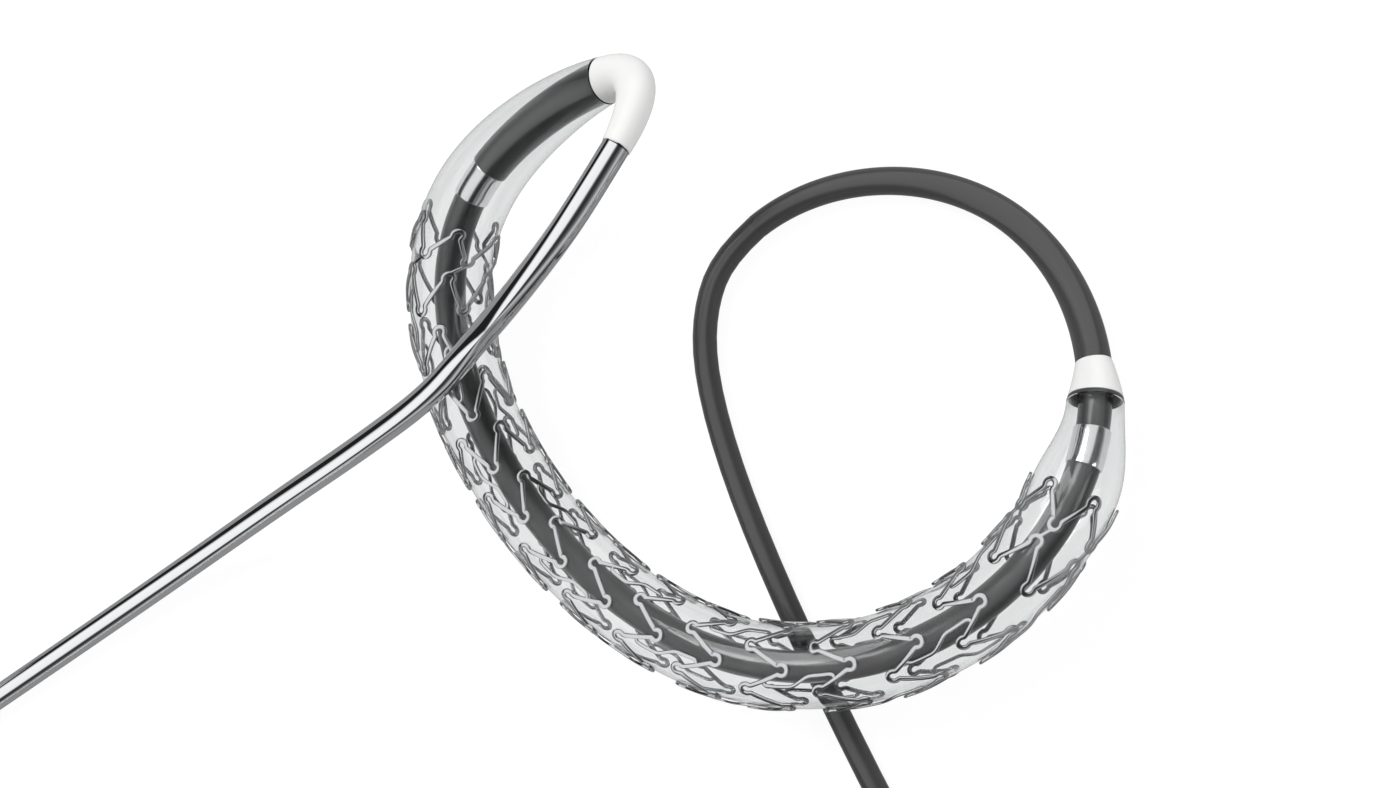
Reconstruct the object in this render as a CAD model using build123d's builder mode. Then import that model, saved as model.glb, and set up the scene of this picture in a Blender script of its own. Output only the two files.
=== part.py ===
from build123d import *
from math import ceil, cos, pi, radians, sin, sqrt, tan
import os

# Balloon-expanded coronary stent on the inflated balloon of its delivery catheter,
# with the guidewire that it rides on. Millimetres, Z up, the floor at Z = 0.
# From the tapered end of the outer shaft to the soft tip all is laid out along one bent
# axis, and every place along it is an arc length from where that taper starts.

# the stent
RINGS = 16
CROWNS = 6  # crowns that face each way on one ring
STENT_WALL = 0.09
STENT_CLEAR = 0.032  # strut to balloon, which takes up the struts' chords
STRUT_WIDTH = 0.13
RING_HEIGHT = 1.70  # crown tip to crown tip, over the metal
BULB_RADIUS = 0.185  # keyhole of a crown, on the strut's centre line
BULB_NECK = 0.12  # straight run between a keyhole and its shoulder
LAST_RING_AT = 21.65  # middle of the ring nearest the bond
END_PITCH = 1.88  # an end ring to its neighbour
RING_PITCH = 2.185  # mean spacing of the other rings
RING_BUNCH = 1.05  # how far the middle rings stand toward the tip
CROWN_ANGLE = 258.0  # first crown, from the axis' own normal
TWIST_FROM = 42.4  # from here on the lattice turns with the balloon
TWIST_RATE = 0.4
LINK_WIDTH = 0.11
LINK_RECESS = 0.006  # a link is this much thinner on each side than a strut
LINK_OFFSET = 0.18  # a flexible link's two runs, each side of its middle
LINK_HOOK = 0.12  # length of the bend that joins a link to a strut
LINK_SLOPE = 0.33  # half the length of the crossing between its runs

# the balloon
BALLOON_DIA = 2.75  # nominal size of the stent: the inflated balloon
BALLOON_WALL = 0.04
NEAR_CONE_END = 21.10
FAR_CONE_AT = 54.30

# the guidewire and what rides on it
WIRE_DIA = 0.889  # 0.035 inch
WIRE_CLEAR = 0.012
INNER_AT = 17.05
INNER_DIA = 1.07
BAND_DIA = 1.20
BAND_LENGTH = 1.24
BAND_CLEAR = 0.005
NEAR_BAND_AT = 18.98
FAR_BAND_AT = 55.16
SLEEVE_START_DIA = 1.22
SLEEVE_END_DIA = 1.41
TIP_AT = 61.94
TIP_END = 66.05
TIP_START_DIA = 1.52
TIP_END_DIA = 0.95

# the outer shaft and its bond to the balloon
SHAFT_DIA = 0.86
SHAFT_END_DIA = 1.15
TAPER_AT = 1.60
BOND_AT = 16.63
BOND_END = 18.00
BOND_START_DIA = 1.16
BOND_END_DIA = 1.82
BOND_WALL = 0.08
SOCKET_SETBACK = 0.05

# the two cords and the hub, which lies beside the coils
SHAFT_LENGTH = 1400.0  # from the hub to the end of the soft tip
SHAFT_COIL_DIA = 16.2  # across the middle of the turns
SHAFT_COIL_LAYERS = 5
WIRE_FREE_LENGTH = 300.0  # beyond the soft tip
WIRE_RUN = 42.0  # of which this much reaches its coil
WIRE_COIL_DIA = 10.0
WIRE_COIL_LAYERS = 3
HUB_AT = (-17.70, -33.60)
HUB_LENGTH = 26.0
HUB_NECK_DIA = 4.6
HUB_BODY_DIA = 5.8
HUB_FLANGE_DIA = 7.6
HUB_FLANGE_LENGTH = 1.6
PORT_AT = 7.5
PORT_DIA = 5.2
PORT_LEAN = 38.0
PORT_LENGTH = 16.5
LUER_BORE = 4.2
LUER_DEPTH = 7.5
LUMEN_DIA = 1.3
PORT_LUMEN_DIA = 1.1
RELIEF_LENGTH = 7.5
RELIEF_SEAT = 3.0  # how deep the strain relief sits in the hub
RELIEF_GRIP = 3.2  # how deep the shaft goes into the strain relief
RELIEF_DIA = 2.6
SEAT_CLEAR = 0.01
WING_AT = 14.5
WING_SPAN = 13.0
WING_LENGTH = 6.0
WING_THICK = 1.2

# points that pull the axis, from the taper of the outer shaft to the end of the tip
AXIS = [
    (-1.02, 1.31, 0.46), (0.78, 4.89, 0.42), (3.57, 6.91, 0.43), (7.12, 7.45, 0.47),
    (10.51, 6.34, 0.53), (12.77, 3.71, 0.93), (13.62, 0.44, 2.25), (13.07, -2.79, 3.52),
    (11.21, -5.72, 3.64), (8.44, -7.92, 3.09), (5.18, -9.06, 2.56), (1.74, -9.08, 2.08),
    (-1.52, -7.83, 1.56), (-4.27, -5.73, 1.40), (-6.39, -3.05, 1.64), (-7.90, 0.10, 2.12),
    (-8.41, 3.63, 2.81), (-7.29, 6.88, 3.64), (-4.64, 9.02, 4.51), (-2.11, 10.03, 5.53),
    (-0.73, 10.07, 6.51), (-0.40, 9.09, 7.23), (-0.85, 7.55, 7.89), (-2.03, 5.60, 8.58),
]
STEPS = 50

BALLOON_R = BALLOON_DIA / 2
STENT_INNER = BALLOON_R + STENT_CLEAR
STENT_MIDDLE = STENT_INNER + STENT_WALL / 2
BORE_DIA = WIRE_DIA + 2 * WIRE_CLEAR
SHAFT_TURNS = round((SHAFT_LENGTH - TIP_END) / (pi * SHAFT_COIL_DIA))
WIRE_TURNS = round((WIRE_FREE_LENGTH - WIRE_RUN) / (pi * WIRE_COIL_DIA))


def curve_point(i, u):
    """Point at share u of span i of the uniform cubic B-spline that AXIS pulls."""
    weights = ((1 - u) ** 3, 3 * u**3 - 6 * u**2 + 4, -3 * u**3 + 3 * u**2 + 3 * u + 1, u**3)
    point = Vector(0, 0, 0)
    for k, weight in enumerate(weights):
        point += Vector(*AXIS[i + k]) * (weight / 6)
    return point


def walk_axis():
    """Rows of arc length, point, tangent and a normal that never turns round the axis."""
    spans = len(AXIS) - 3
    points = [curve_point(i, k / STEPS) for i in range(spans) for k in range(STEPS)]
    points.append(curve_point(spans - 1, 1.0))
    rows = []
    run = 0.0
    normal = None
    for k, p in enumerate(points):
        tangent = (points[min(k + 1, len(points) - 1)] - points[max(k - 1, 0)]).normalized()
        if normal is None:
            normal = tangent.cross(Vector(0, 0, 1))
        else:
            run += (p - points[k - 1]).length
        normal = (normal - tangent * normal.dot(tangent)).normalized()
        rows.append((run, p, tangent, normal))
    return rows


WALK = walk_axis()


def section_plane(s):
    """The plane across the axis at arc length s, with its X along the carried normal."""
    k = next((k for k, row in enumerate(WALK) if row[0] >= s), len(WALK) - 1)
    a, b = WALK[max(k, 1) - 1], WALK[max(k, 1)]
    u = (s - a[0]) / (b[0] - a[0])
    tangent = (a[2] * (1 - u) + b[2] * u).normalized()
    normal = a[3] * (1 - u) + b[3] * u
    normal = (normal - tangent * normal.dot(tangent)).normalized()
    return Plane(origin=a[1] * (1 - u) + b[1] * u, x_dir=normal, z_dir=tangent)


def stations(start, end, step):
    count = max(1, ceil((end - start) / step - 0.01))
    return [start + (end - start) * k / count for k in range(count + 1)]


def ring_middles():
    """Arc length of each ring's middle, from the bond's end of the stent to the tip's."""
    spans = RINGS - 3
    inner = [
        LAST_RING_AT + END_PITCH + RING_PITCH * m + RING_BUNCH * sin(pi * m / spans)
        for m in range(spans + 1)
    ]
    return [LAST_RING_AT, *inner, inner[-1] + END_PITCH]


RING_AT = ring_middles()
BAND_HALF = RING_HEIGHT / 2 - BULB_RADIUS - STRUT_WIDTH / 2 - BULB_NECK + 0.04


def skin_stations():
    """Section places of the balloon: a straight band under each ring's struts."""
    places = stations(BOND_END, NEAR_CONE_END, 0.55)
    for middle in RING_AT:
        places += [middle - BAND_HALF, middle + BAND_HALF]
    places = [s for s in places if s <= NEAR_CONE_END or s >= RING_AT[0] - BAND_HALF]
    return sorted(places) + stations(max(places) + 0.7, TIP_AT, 0.8)


SKIN_AT = skin_stations()


def on_skin(s, angle, radius):
    """A point that stands radius off the axis, on the straight bands between the stations."""
    k = next((k for k, place in enumerate(SKIN_AT) if place > s), len(SKIN_AT) - 1)
    corners = []
    for place in (SKIN_AT[k - 1], SKIN_AT[k]):
        plane = section_plane(place)
        turned = plane.x_dir * cos(radians(angle)) + plane.y_dir * sin(radians(angle))
        corners.append(plane.origin + turned * radius)
    u = (s - SKIN_AT[k - 1]) / (SKIN_AT[k] - SKIN_AT[k - 1])
    return corners[0] * (1 - u) + corners[1] * u


def disc(s, radius):
    with BuildSketch(section_plane(s)) as face:
        Circle(radius)
    return face.sketch


def rod(places, radius_at):
    """A round bar through the section places, straight between them."""
    with BuildPart() as piece:
        loft([disc(s, radius_at(s)) for s in places], ruled=True)
    return piece.part


def balloon_radius(s):
    """Half-cosine cone at the bond, a round shoulder and long taper at the tip."""
    if s < NEAR_CONE_END:
        share = (s - BOND_END) / (NEAR_CONE_END - BOND_END)
        neck = BOND_END_DIA / 2
        return neck + (BALLOON_R - neck) * (1 - cos(pi * share)) / 2
    share = max(0.0, (s - FAR_CONE_AT) / (TIP_AT - FAR_CONE_AT))
    return BALLOON_R - (BALLOON_R - TIP_START_DIA / 2) * share**1.5


def tapered(start, end, start_dia, end_dia, power=1.0):
    def radius_at(s):
        share = min(max((s - start) / (end - start), 0.0), 1.0)
        return (start_dia + (end_dia - start_dia) * share**power) / 2

    return radius_at


# The stent is drawn flat: a runs along the axis toward the bond, c round it in millimetres.
PERIOD = 2 * pi * STENT_MIDDLE / CROWNS


def twist_at(s):
    return CROWN_ANGLE + TWIST_RATE * max(0.0, s - TWIST_FROM) ** 2


def laid(s_middle, a, c):
    """Mid-wall point and outward direction of a flat point (a, c) of the ring at s_middle."""
    s = s_middle - a
    angle = twist_at(s) - 360 * c / (CROWNS * PERIOD)
    inner = on_skin(s, angle, STENT_INNER)
    outward = (on_skin(s, angle, STENT_INNER + STENT_WALL) - inner).normalized()
    return inner + outward * (STENT_WALL / 2), outward


def strip(points, width, wall):
    """A strut through mid-wall points with outward directions, mitred at each bend."""
    sections = []
    for k, (p, outward) in enumerate(points):
        ahead = (points[min(k + 1, len(points) - 1)][0] - p) if k + 1 < len(points) else None
        behind = (p - points[k - 1][0]) if k else None
        runs = [run - outward * run.dot(outward) for run in (behind, ahead) if run is not None]
        runs = [run.normalized() for run in runs]
        along = sum(runs[1:], runs[0]).normalized()
        spread = width / along.dot(runs[0])
        with BuildSketch(Plane(origin=p, x_dir=along.cross(outward), z_dir=along)) as face:
            Rectangle(spread, wall)
        sections.append(face.sketch)
    with BuildPart() as piece:
        loft(sections, ruled=True)
    return piece.part


def crown(tip, middle, facing):
    """Flat points of one keyhole crown from shoulder to shoulder, facing +1 to the bond."""
    reach = RING_HEIGHT / 2 - STRUT_WIDTH / 2 - BULB_RADIUS
    shoulder = reach - BULB_NECK
    bend = BULB_RADIUS * 0.8
    return [
        (facing * shoulder, middle - BULB_RADIUS * 0.75),
        (facing * (reach + bend * 0.2), middle - BULB_RADIUS),
        (facing * tip, middle - BULB_RADIUS * 0.42),
        (facing * tip, middle + BULB_RADIUS * 0.42),
        (facing * (reach + bend * 0.2), middle + BULB_RADIUS),
        (facing * shoulder, middle + BULB_RADIUS * 0.75),
    ]


def ring(index, mirrored):
    """Two half rings, each a strip of keyhole crowns that face the two ways by turns."""
    tip = RING_HEIGHT / 2 - STRUT_WIDTH / 2
    flat = []
    for k in range(2 * CROWNS):
        facing = 1 if k % 2 == 0 else -1
        flat += crown(tip, k * PERIOD / 2, -facing if mirrored else facing)
    flat.append((flat[0][0], flat[0][1] + CROWNS * PERIOD))
    points = [laid(RING_AT[index], a, c) for a, c in flat]
    half = len(points) // 2
    return [
        strip(points[: half + 1], STRUT_WIDTH, STENT_WALL),
        strip(points[half:], STRUT_WIDTH, STENT_WALL),
    ]


def straight_link(index, c):
    """Short bar from crown to crown across the gap beyond ring index."""
    gap = RING_AT[index + 1] - RING_AT[index]
    reach = RING_HEIGHT / 2 - STRUT_WIDTH / 2
    s = RING_AT[index] + gap / 2
    half = gap / 2 - reach
    points = [laid(s, half, c), laid(s, -half, c)]
    return strip(points, LINK_WIDTH, STENT_WALL - 2 * LINK_RECESS)


def flexible_link(index, c_middle):
    """S-shaped link from mid strut to mid strut across the gap beyond ring index."""
    gap = RING_AT[index + 1] - RING_AT[index]
    s = RING_AT[index] + gap / 2
    half = gap / 2
    one_side = [
        (half, 0.0),
        (half - 0.03, LINK_OFFSET * 0.72),
        (half - LINK_HOOK - 0.03, LINK_OFFSET),
        (LINK_SLOPE, LINK_OFFSET),
        (LINK_SLOPE * 0.45, LINK_OFFSET * 0.62),
    ]
    flat = [(a, c_middle - c) for a, c in one_side]
    flat += [(-a, c_middle + c) for a, c in reversed(one_side)]
    points = [laid(s, a, c) for a, c in flat]
    return strip(points, LINK_WIDTH, STENT_WALL - 2 * LINK_RECESS)


def stent_pieces():
    """Every ring and link, the rings counted from the bond's end."""
    pieces = []
    for index in range(RINGS):
        pieces += ring(index, index in (0, RINGS - 1))
    for k in range(CROWNS):
        pieces.append(straight_link(0, k * PERIOD))
        pieces.append(straight_link(RINGS - 2, (k + 0.5) * PERIOD))
    for index in range(1, RINGS - 2):
        shift = 0.25 if index % 2 == 0 else -0.75
        for k in range(CROWNS // 2):
            pieces.append(flexible_link(index, (shift + 2 * k) * PERIOD))
    return pieces


def core_stations():
    """Section places of the pieces round the wire, which share their straight stretches."""
    near_end = NEAR_BAND_AT + BAND_LENGTH
    places = [INNER_AT, NEAR_BAND_AT] + stations(near_end, FAR_BAND_AT, 2.2)
    return places + stations(FAR_BAND_AT + BAND_LENGTH, TIP_AT, 1.0)


CORE_AT = core_stations()
TIP_PLACES = stations(TIP_AT, TIP_END, 0.42)


def pipe(places, outer_at, inner_at):
    """A hollow round piece along the axis."""
    with BuildPart() as piece:
        add(rod(places, outer_at))
        add(rod(places, inner_at), mode=Mode.SUBTRACT)
    return piece.part


def even(dia):
    return lambda s: dia / 2


with BuildPart() as stent:
    add(stent_pieces(), clean=False)

with BuildPart() as balloon:
    add(pipe(SKIN_AT, balloon_radius, lambda s: balloon_radius(s) - BALLOON_WALL))

with BuildPart() as inner_shaft:
    add(pipe(CORE_AT, even(INNER_DIA), even(BORE_DIA)))

with BuildPart() as guidewire_core:
    add(rod(CORE_AT + TIP_PLACES[1:], even(WIRE_DIA)))

near_places = [NEAR_BAND_AT, NEAR_BAND_AT + BAND_LENGTH]
with BuildPart() as proximal_marker_band:
    add(pipe(near_places, even(BAND_DIA), even(INNER_DIA + BAND_CLEAR)))

far_places = [FAR_BAND_AT, FAR_BAND_AT + BAND_LENGTH]
with BuildPart() as distal_marker_band:
    add(pipe(far_places, even(BAND_DIA), even(INNER_DIA + BAND_CLEAR)))

sleeve_places = [s for s in CORE_AT if s >= far_places[1] - 0.001]
sleeve_outer = tapered(far_places[1], TIP_AT, SLEEVE_START_DIA, SLEEVE_END_DIA)
with BuildPart() as distal_sleeve:
    add(pipe(sleeve_places, sleeve_outer, even(INNER_DIA + BAND_CLEAR)))

tip_outer = tapered(TIP_AT, TIP_END, TIP_START_DIA, TIP_END_DIA)
with BuildPart() as soft_tip:
    add(pipe(TIP_PLACES, tip_outer, even(BORE_DIA)))

bond_places = [BOND_AT, INNER_AT, BOND_END]
bond_outer = tapered(BOND_AT, BOND_END, BOND_START_DIA, BOND_END_DIA)
bond_inner = tapered(
    BOND_AT, BOND_END, BOND_START_DIA - 2 * BOND_WALL, BOND_END_DIA - 2 * BOND_WALL
)
with BuildPart() as proximal_bond:
    add(pipe(bond_places, bond_outer, bond_inner))

socket_end = BOND_END - SOCKET_SETBACK
mouth = tapered(INNER_AT, socket_end, INNER_DIA + 0.02, BOND_END_DIA - 2 * BOND_WALL - 0.2)
with BuildPart() as shaft_socket:
    add(rod([BOND_AT, INNER_AT, socket_end], lambda s: bond_inner(s) - BAND_CLEAR / 2))
    add(rod([INNER_AT, socket_end], mouth), mode=Mode.SUBTRACT)

with BuildPart() as tapered_shaft:
    add(rod(stations(TAPER_AT, BOND_AT, 1.0), tapered(TAPER_AT, BOND_AT, SHAFT_DIA, SHAFT_END_DIA)))


def cord(route, dia):
    """A cord along straight runs, with an arc at each corner."""
    radii = []
    for before, corner, after in zip(route, route[1:], route[2:]):
        a, b = corner - before, after - corner
        turn = radians(a.get_angle(b))
        radii.append(0.45 * min(a.length, b.length) / tan(turn / 2))
    start = Plane(origin=route[0], z_dir=route[1] - route[0])
    with BuildPart() as piece:
        with BuildLine() as path:
            FilletPolyline(*route, radius=radii)
        with BuildSketch(start):
            Circle(dia / 2)
        sweep(path=path.wire())
    print("cord radii", [round(r, 1) for r in radii], "length", round(path.wire().length, 1))
    return piece.part


def coil(place, across, dia, turns, layers, entries):
    """The outer shape of neat turns that lie on the floor, cut where cords enter it."""
    wide = layers * dia
    high = dia * (1 + (ceil(turns / layers) - 1) * sqrt(3) / 2)
    with BuildPart() as piece:
        with BuildSketch(Plane.XZ):
            with Locations((across / 2, high / 2)):
                RectangleRounded(wide, high, dia * 0.45)
        revolve(axis=Axis.Z)
    with BuildPart() as placed:
        add(piece.part.moved(Location(place)))
        for entry in entries:
            add(entry, mode=Mode.SUBTRACT)
    return placed.part


SHAFT_ROUTE = [
    (0.95, 4.75), (0.28, 3.05), (0.24, 0.90), (1.10, -2.39), (2.94, -6.90), (6.08, -13.27),
    (8.35, -17.30), (10.29, -21.94),
]
SHAFT_COIL_AT = (3.00, -25.50, 0)
TAIL_ROUTE = [
    (3.00, -33.60, 0.43), (-1.00, -33.60, 0.43), (-5.20, -33.60, 1.70), (-10.60, -33.60, 3.80),
    (-16.30, -33.60, 3.80),
]
WIRE_ROUTE = [
    (-1.74, 6.09, 8.23), (-2.75, 4.73, 8.05), (-4.55, 3.02, 6.95), (-6.57, 1.50, 5.24),
    (-8.05, 0.02, 4.71), (-11.02, -1.75, 3.50), (-14.93, -3.90, 2.01), (-20.07, -6.97, 0.62),
    (-26.99, -11.43, 0.4445), (-33.70, -15.77, 0.4445),
]
WIRE_COIL_AT = (-36.42, -11.57, 0)

shaft_route = [section_plane(TAPER_AT).origin]
shaft_route += [Vector(x, y, SHAFT_DIA / 2) for x, y in SHAFT_ROUTE]
with BuildPart() as outer_shaft:
    add(cord(shaft_route, SHAFT_DIA))
with BuildPart() as outer_shaft_tail:
    add(cord([Vector(*p) for p in TAIL_ROUTE], SHAFT_DIA))
with BuildPart() as outer_shaft_coil:
    add(
        coil(
            SHAFT_COIL_AT, SHAFT_COIL_DIA, SHAFT_DIA, SHAFT_TURNS, SHAFT_COIL_LAYERS,
            [outer_shaft.part, outer_shaft_tail.part],
        )
    )

wire_route = [section_plane(TIP_END).origin] + [Vector(*p) for p in WIRE_ROUTE]
with BuildPart() as guidewire:
    add(cord(wire_route, WIRE_DIA))
with BuildPart() as guidewire_coil:
    add(coil(WIRE_COIL_AT, WIRE_COIL_DIA, WIRE_DIA, WIRE_TURNS, WIRE_COIL_LAYERS, [guidewire.part]))


def level_plane(origin, heading):
    """A plane that stands upright along a level heading, its X the heading."""
    direction = Vector(cos(radians(heading)), sin(radians(heading)), 0)
    return Plane(origin=origin, x_dir=direction, z_dir=Vector(0, 0, 1).cross(direction))


def turned(plane, outline):
    """A solid turned round the plane's X from an outline of (along, radius) points."""
    with BuildPart() as piece:
        with BuildSketch(plane):
            with BuildLine():
                Polyline(*outline, close=True)
            make_face()
        revolve(axis=Axis(plane.origin, plane.x_dir))
    return piece.part


def bore_outline(start, end, dia):
    return [(start, 0), (start, dia / 2), (end, dia / 2), (end, 0)]


def socket_outline(end):
    """Outline of a six per cent luer socket that opens at end."""
    bore = LUER_BORE / 2
    return [(end + 1, 0), (end + 1, bore), (end - LUER_DEPTH, bore - 0.25), (end - LUER_DEPTH, 0)]


def barrel_outline(end, barrel_dia):
    """Outline of a luer barrel with its lock flange at end."""
    barrel, flange = barrel_dia / 2, HUB_FLANGE_DIA / 2
    lip = end - HUB_FLANGE_LENGTH
    return [(0, 0), (0, barrel), (lip, barrel), (lip, flange), (end, flange), (end, 0)]


# the hub lies at the far end of the tail, its axis level and its flanges on the floor
hub_plane = level_plane((HUB_AT[0], HUB_AT[1], HUB_FLANGE_DIA / 2), 180)
side_plane = level_plane(hub_plane.origin + hub_plane.x_dir * PORT_AT, 180 - PORT_LEAN)
neck = HUB_NECK_DIA / 2
neck_end = RELIEF_SEAT + 1.0
with BuildPart() as hub:
    add(turned(hub_plane, [(0, 0), (0, neck), (neck_end, neck), (neck_end, 0)]))
    barrel = barrel_outline(HUB_LENGTH, HUB_BODY_DIA)
    barrel[0:2] = [(neck_end, 0), (neck_end, neck), (neck_end + 1.5, HUB_BODY_DIA / 2)]
    add(turned(hub_plane, barrel))
    add(turned(side_plane, barrel_outline(PORT_LENGTH, PORT_DIA)))
    with BuildSketch(Plane(origin=hub_plane.origin, x_dir=(-1, 0, 0), z_dir=(0, 0, 1))):
        with Locations((WING_AT, 0)):
            RectangleRounded(WING_LENGTH, WING_SPAN, 1.4)
    extrude(amount=WING_THICK / 2, both=True)
    add(turned(hub_plane, socket_outline(HUB_LENGTH)), mode=Mode.SUBTRACT)
    add(turned(side_plane, socket_outline(PORT_LENGTH)), mode=Mode.SUBTRACT)
    add(turned(hub_plane, bore_outline(RELIEF_SEAT, HUB_LENGTH - 1, LUMEN_DIA)), mode=Mode.SUBTRACT)
    add(turned(side_plane, bore_outline(0, PORT_LENGTH - 1, PORT_LUMEN_DIA)), mode=Mode.SUBTRACT)
    add(
        turned(hub_plane, bore_outline(-1, RELIEF_SEAT, RELIEF_DIA + 2 * SEAT_CLEAR)),
        mode=Mode.SUBTRACT,
    )

relief_root = RELIEF_DIA / 2
relief_free = RELIEF_SEAT - RELIEF_LENGTH
with BuildPart() as strain_relief:
    add(turned(hub_plane, [
        (relief_free, 0), (relief_free, SHAFT_DIA / 2 + 0.22), (-0.4, relief_root),
        (RELIEF_SEAT, relief_root), (RELIEF_SEAT, 0),
    ]))
    hole = bore_outline(relief_free - 1, relief_free + RELIEF_GRIP, SHAFT_DIA + 2 * SEAT_CLEAR)
    add(turned(hub_plane, hole), mode=Mode.SUBTRACT)
    hole = bore_outline(relief_free, RELIEF_SEAT + 1, LUMEN_DIA * 0.5)
    add(turned(hub_plane, hole), mode=Mode.SUBTRACT)

nodes = {
    "stent": stent,
    "balloon": balloon,
    "inner_shaft": inner_shaft,
    "guidewire_core": guidewire_core,
    "proximal_marker_band": proximal_marker_band,
    "distal_marker_band": distal_marker_band,
    "distal_sleeve": distal_sleeve,
    "soft_tip": soft_tip,
    "proximal_bond": proximal_bond,
    "shaft_socket": shaft_socket,
    "tapered_shaft": tapered_shaft,
    "outer_shaft": outer_shaft,
    "outer_shaft_coil": outer_shaft_coil,
    "outer_shaft_tail": outer_shaft_tail,
    "guidewire": guidewire,
    "guidewire_coil": guidewire_coil,
    "strain_relief": strain_relief,
    "hub": hub,
}

# the origin lies on the floor under the middle of all but the cords and what is on them
cord_pieces = ("outer_shaft", "guidewire", "strain_relief", "hub")
placed = [piece.part for name, piece in nodes.items() if not name.startswith(cord_pieces)]
boxes = [part.bounding_box() for part in placed]
middle_x = (min(box.min.X for box in boxes) + max(box.max.X for box in boxes)) / 2
middle_y = (min(box.min.Y for box in boxes) + max(box.max.Y for box in boxes)) / 2
shift = Location((-middle_x, -middle_y, 0))
print("moved by", round(-middle_x, 3), round(-middle_y, 3))

os.makedirs("parts", exist_ok=True)
for name, piece in nodes.items():
    solid = piece.part.solid().moved(shift)
    solid.label = name
    export_step(solid, f"parts/{name}.step")
    print(name, "solids", len(piece.part.solids()), "volume", round(solid.volume, 3))
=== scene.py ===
# %% [markdown]
# # A coronary stent, opened on its balloon
# The object is the working end of a balloon catheter: a lattice of steel that has been
# opened by a clear balloon, the thin shafts that carry the balloon, and the steel
# guidewire that all of it slides on. The script works out smooth surfaces with numpy,
# gives each a material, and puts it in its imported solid's place. Its sizes are the solids'
# own, apart from a few that follow the photograph more closely: the stent's struts and end
# rings, the sleeve's end and the film's necks.

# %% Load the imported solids
import math

import bmesh
import bpy
import numpy as np
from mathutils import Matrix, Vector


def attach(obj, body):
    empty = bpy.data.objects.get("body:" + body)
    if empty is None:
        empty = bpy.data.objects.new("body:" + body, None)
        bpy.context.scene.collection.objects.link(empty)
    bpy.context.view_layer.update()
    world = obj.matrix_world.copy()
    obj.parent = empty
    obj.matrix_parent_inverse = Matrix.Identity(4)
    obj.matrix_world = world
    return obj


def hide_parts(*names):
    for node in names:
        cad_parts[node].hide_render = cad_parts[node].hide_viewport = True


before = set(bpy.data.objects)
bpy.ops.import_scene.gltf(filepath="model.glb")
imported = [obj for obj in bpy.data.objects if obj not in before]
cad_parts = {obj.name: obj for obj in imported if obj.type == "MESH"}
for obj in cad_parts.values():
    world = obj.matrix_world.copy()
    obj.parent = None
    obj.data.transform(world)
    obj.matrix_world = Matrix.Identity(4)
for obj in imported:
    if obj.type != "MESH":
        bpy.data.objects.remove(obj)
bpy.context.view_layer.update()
print("solids:", ", ".join(sorted(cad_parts)))

# %% [markdown]
# ## The bent axis
# From the taper of the outer shaft to the soft tip all is round, so one bent line carries
# it all. The line is a cubic B-spline that is pulled by a short list of points, the same
# that the solids use. A spline is chosen because its bend changes without any kink, as a
# springy shaft's does. Places along it are arc lengths in millimetres.

# %% Walk along the axis
MM = 0.001
WELD = 1e-7  # metres within which two points are one
ORIGIN = np.array([2.321, 0.132, 0.0])  # the row's origin, in the axis' millimetres
AXIS = np.array([
    (-1.02, 1.31, 0.46), (0.78, 4.89, 0.42), (3.57, 6.91, 0.43), (7.12, 7.45, 0.47),
    (10.51, 6.34, 0.53), (12.77, 3.71, 0.93), (13.62, 0.44, 2.25), (13.07, -2.79, 3.52),
    (11.21, -5.72, 3.64), (8.44, -7.92, 3.09), (5.18, -9.06, 2.56), (1.74, -9.08, 2.08),
    (-1.52, -7.83, 1.56), (-4.27, -5.73, 1.40), (-6.39, -3.05, 1.64), (-7.90, 0.10, 2.12),
    (-8.41, 3.63, 2.81), (-7.29, 6.88, 3.64), (-4.64, 9.02, 4.51), (-2.11, 10.03, 5.53),
    (-0.73, 10.07, 6.51), (-0.40, 9.09, 7.23), (-0.85, 7.55, 7.89), (-2.03, 5.60, 8.58),
])
STEPS = 50


def unit(vectors):
    """Each vector divided by its own length."""
    return vectors / np.linalg.norm(vectors, axis=-1, keepdims=True)


def walk_axis():
    """Arc length, point, normal and binormal of stations along the axis. A point is its
    four neighbours in AXIS weighted by (1-u)^3, 3u^3-6u^2+4, -3u^3+3u^2+3u+1 and u^3, over 6."""
    u = np.arange(STEPS) / STEPS
    weights = np.stack([(1 - u) ** 3, 3 * u**3 - 6 * u**2 + 4, -3 * u**3 + 3 * u**2 + 3 * u + 1, u**3])
    spans = np.stack([AXIS[k : len(AXIS) - 3 + k] for k in range(4)])
    points = np.einsum("ku,ksx->sux", weights / 6, spans).reshape(-1, 3)
    points = np.vstack([points, (AXIS[-3] + 4 * AXIS[-2] + AXIS[-1]) / 6])
    run = np.concatenate([[0], np.cumsum(np.linalg.norm(np.diff(points, axis=0), axis=1))])
    tangents = unit(np.gradient(points, axis=0))
    normals = np.empty_like(points)
    normal = np.cross(tangents[0], (0, 0, 1))
    for k, tangent in enumerate(tangents):  # the normal is carried, and never turns round the axis
        normal = unit(normal - tangent * (normal @ tangent))
        normals[k] = normal
    return run, points, normals, np.cross(tangents, normals)


RUN, POINTS, NORMALS, BINORMALS = walk_axis()
print("axis", round(RUN[-1], 2), "mm long")


def on_axis(s, angle, radius):
    """Axis point at arc length s + radius (cos angle normal + sin angle binormal), and the
    outward direction, in metres of the row frame."""
    s, angle, radius = np.broadcast_arrays(s, angle, radius)
    point, normal, binormal = (
        np.stack([np.interp(s, RUN, table[:, k]) for k in range(3)], axis=-1)
        for table in (POINTS, NORMALS, BINORMALS)
    )
    outward = unit(np.cos(angle)[..., None] * normal + np.sin(angle)[..., None] * binormal)
    return (point + radius[..., None] * outward - ORIGIN) * MM, outward


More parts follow.
